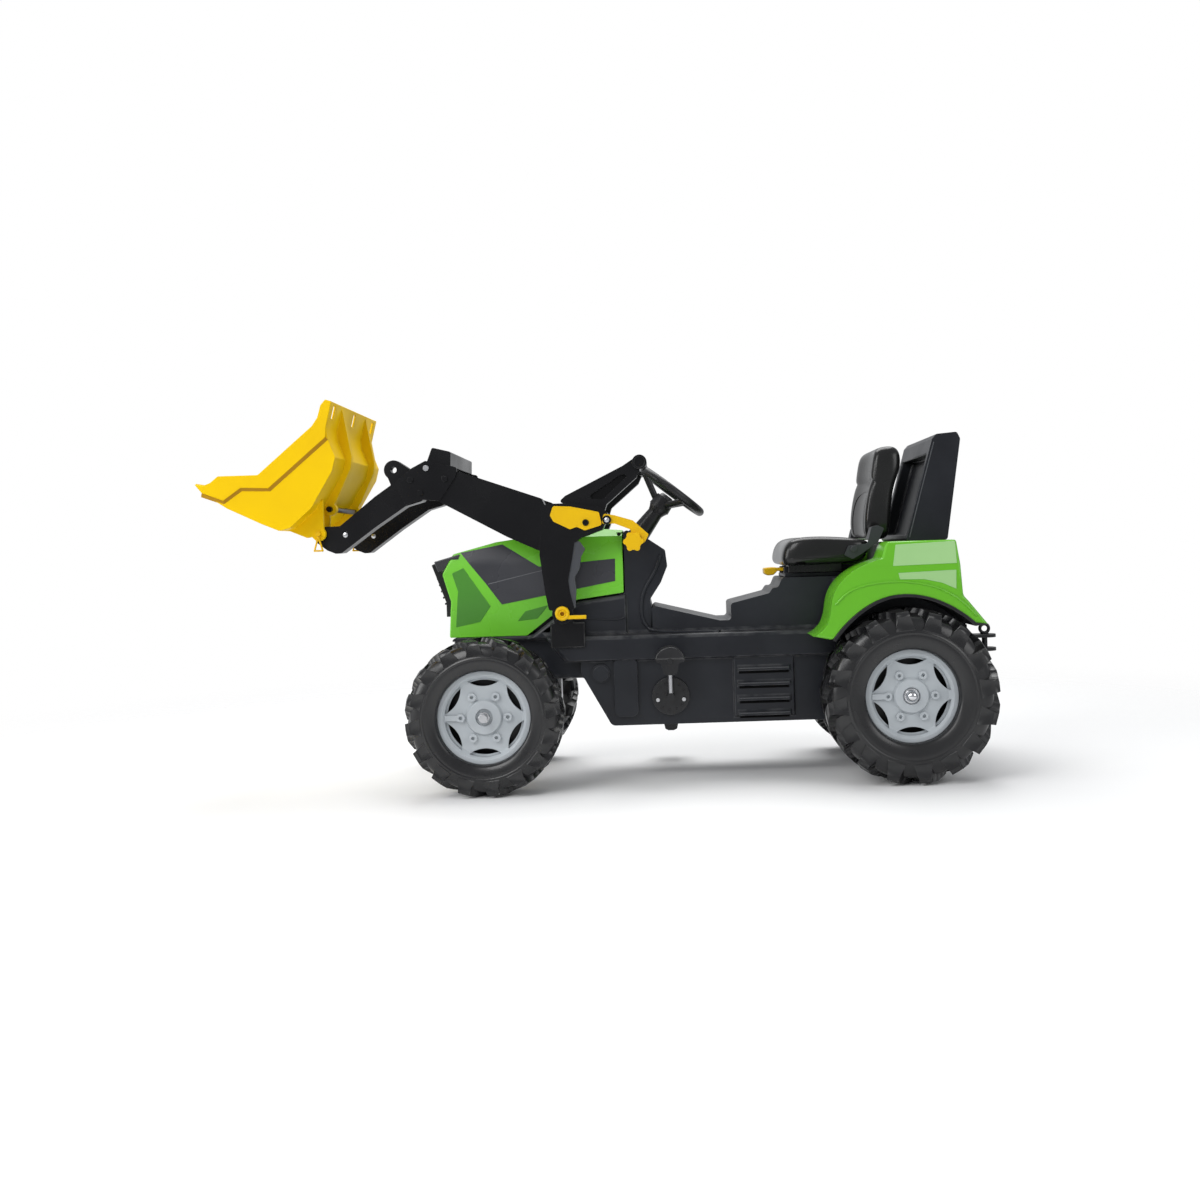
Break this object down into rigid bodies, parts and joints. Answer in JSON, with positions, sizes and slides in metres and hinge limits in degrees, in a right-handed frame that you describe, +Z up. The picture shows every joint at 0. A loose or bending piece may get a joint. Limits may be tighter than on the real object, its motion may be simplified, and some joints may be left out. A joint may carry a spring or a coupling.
{
  "type": "ride on tractor toy",
  "caption": "Ride-on pedal tractor toy with a tipping front loader bucket, chain drive, steered front wheels, opening hood and sliding seat.",
  "frame": {"origin": "on the ground under the middle of the overall box", "axes": "+X to the rear, +Y to the right of the driver, +Z up"},
  "size_m": [1.654, 0.53, 0.804],
  "materials": {
    "hull": "satin",
    "trim": "satin",
    "loader_black": "satin",
    "green": "gloss",
    "lamp": "gloss",
    "bucket_yellow": "gloss",
    "yellow": "gloss",
    "wheel_grey": "satin",
    "tyre": "matte",
    "steel": "brushed",
    "chrome": "polished",
    "seat": "satin",
    "seat_steel": "satin",
    "pedal": "satin",
    "steer": "satin",
    "hitch": "satin"
  },
  "bodies": {
    "chassis": {"main_frame": "hull", "hull_plugs": "trim", "front_axle_beam": "steel", "axle_bushes": "trim", "crank_bearings": "trim", "bearing_screws": "steel", "column_tube": "hull", "hood_hinge": "hull", "loader_brackets": "loader_black", "lock_pins": "yellow", "seat_base": "hull", "fenders": "green", "fender_seals": "trim", "roll_guard": "trim", "rear_hitch": "hitch", "drive_chain": "steel"},
    "knuckle_left": {"knuckle_left": "steel", "stub_nut_left": "steel"},
    "knuckle_right": {"knuckle_right": "steel", "stub_nut_right": "steel"},
    "front_wheel_left": {"front_tyre_left": "tyre", "front_rim_left": "wheel_grey"},
    "front_wheel_right": {"front_tyre_right": "tyre", "front_rim_right": "wheel_grey"},
    "tie_rod": {"tie_rod": "steel"},
    "steering": {"steering_wheel": "steer", "steering_shaft": "steel"},
    "rear_axle": {"rear_axle": "steel", "rear_sprocket": "steel", "rear_tyres": "tyre", "rear_rims": "wheel_grey", "axle_nuts": "chrome"},
    "crank": {"crank_shaft": "steel", "crank_sprocket": "steel"},
    "pedal_left": {"pedal_left": "pedal"},
    "pedal_right": {"pedal_right": "pedal"},
    "hood": {"hood": "green", "front_grille": "trim", "headlights": "lamp"},
    "loader": {"loader_towers": "loader_black", "rear_arms": "loader_black", "front_arms": "loader_black", "elbow_plates": "loader_black", "cross_beam": "loader_black", "elbow_bolts": "steel", "cover_plates": "yellow", "lift_levers": "loader_black", "lift_grips": "loader_black", "tilt_bolt": "steel"},
    "tilt_lever": {"tilt_lever": "yellow"},
    "bucket": {"bucket": "bucket_yellow", "bucket_pins": "steel", "bucket_clips": "yellow", "bucket_bar": "steel"},
    "seat": {"seat_pan": "seat", "seat_back": "seat", "seat_braces": "seat_steel"},
    "seat_latch": {"seat_latch": "yellow"},
    "hitch_pin": {"hitch_pin": "hitch"}
  },
  "joints": [
    {"name": "steer_left", "type": "hinge", "parent": "chassis", "child": "knuckle_left", "pos_m": [-0.256, -0.14, 0.158], "axis": [0, 0, 1], "range_deg": [-17, 17]},
    {"name": "steer_right", "type": "hinge", "parent": "chassis", "child": "knuckle_right", "pos_m": [-0.256, 0.14, 0.158], "axis": [0, 0, 1], "range_deg": [-17, 17]},
    {"name": "tie_rod_slide", "type": "slide", "parent": "chassis", "child": "tie_rod", "axis": [0, 1, 0], "range_m": [-0.018, 0.018]},
    {"name": "steering_turn", "type": "hinge", "parent": "chassis", "child": "steering", "pos_m": [0.133, 0, 0.607], "axis": [0.6225, 0, 0.7826], "range_deg": [-35, 35]},
    {"name": "front_spin_left", "type": "hinge", "parent": "knuckle_left", "child": "front_wheel_left", "pos_m": [-0.256, -0.207, 0.158], "axis": [0, 1, 0], "continuous": true},
    {"name": "front_spin_right", "type": "hinge", "parent": "knuckle_right", "child": "front_wheel_right", "pos_m": [-0.256, 0.207, 0.158], "axis": [0, 1, 0], "continuous": true},
    {"name": "rear_spin", "type": "hinge", "parent": "chassis", "child": "rear_axle", "pos_m": [0.594, 0, 0.175], "axis": [0, 1, 0], "continuous": true, "deforming": ["drive_chain"]},
    {"name": "crank_spin", "type": "hinge", "parent": "chassis", "child": "crank", "pos_m": [0.117, 0, 0.176], "axis": [0, 1, 0], "continuous": true},
    {"name": "pedal_spin_left", "type": "hinge", "parent": "crank", "child": "pedal_left", "pos_m": [0.117, -0.172, 0.256], "axis": [0, 1, 0], "continuous": true},
    {"name": "pedal_spin_right", "type": "hinge", "parent": "crank", "child": "pedal_right", "pos_m": [0.117, 0.172, 0.096], "axis": [0, 1, 0], "continuous": true},
    {"name": "hood_lift", "type": "hinge", "parent": "chassis", "child": "hood", "pos_m": [0.018, 0, 0.516], "axis": [0, 1, 0], "range_deg": [0, 15]},
    {"name": "loader_lift", "type": "hinge", "parent": "chassis", "child": "loader", "pos_m": [-0.1, 0, 0.356], "axis": [0, -1, 0], "range_deg": [0, 45]},
    {"name": "bucket_tip", "type": "hinge", "parent": "loader", "child": "bucket", "pos_m": [-0.593, 0, 0.534], "axis": [0, -1, 0], "range_deg": [0, 65]},
    {"name": "tilt_lever_turn", "type": "hinge", "parent": "loader", "child": "tilt_lever", "pos_m": [-0.003, -0.156, 0.545], "axis": [0, -1, 0], "range_deg": [0, 26]},
    {"name": "seat_slide", "type": "slide", "parent": "chassis", "child": "seat", "axis": [-1, 0, 0], "range_m": [0, 0.05]},
    {"name": "seat_latch_lift", "type": "hinge", "parent": "seat", "child": "seat_latch", "pos_m": [0.386, 0, 0.43], "axis": [0, 1, 0], "range_deg": [0, 7], "stiffness_Nm_per_rad": 0.2, "springref_deg": -5.73},
    {"name": "hitch_pin_pull", "type": "slide", "parent": "chassis", "child": "hitch_pin", "axis": [0, 0, 1], "range_m": [0, 0.05]}
  ],
  "couplings": [
    {"joint": "steer_right", "follows": "steer_left", "ratio": 1},
    {"joint": "tie_rod_slide", "follows": "steer_left", "m_per_rad": 0.06},
    {"joint": "steering_turn", "follows": "steer_left", "ratio": 2.034},
    {"joint": "crank_spin", "follows": "rear_spin", "ratio": 0.7},
    {"joint": "tilt_lever_turn", "follows": "bucket_tip", "ratio": 0.385}
  ]
}
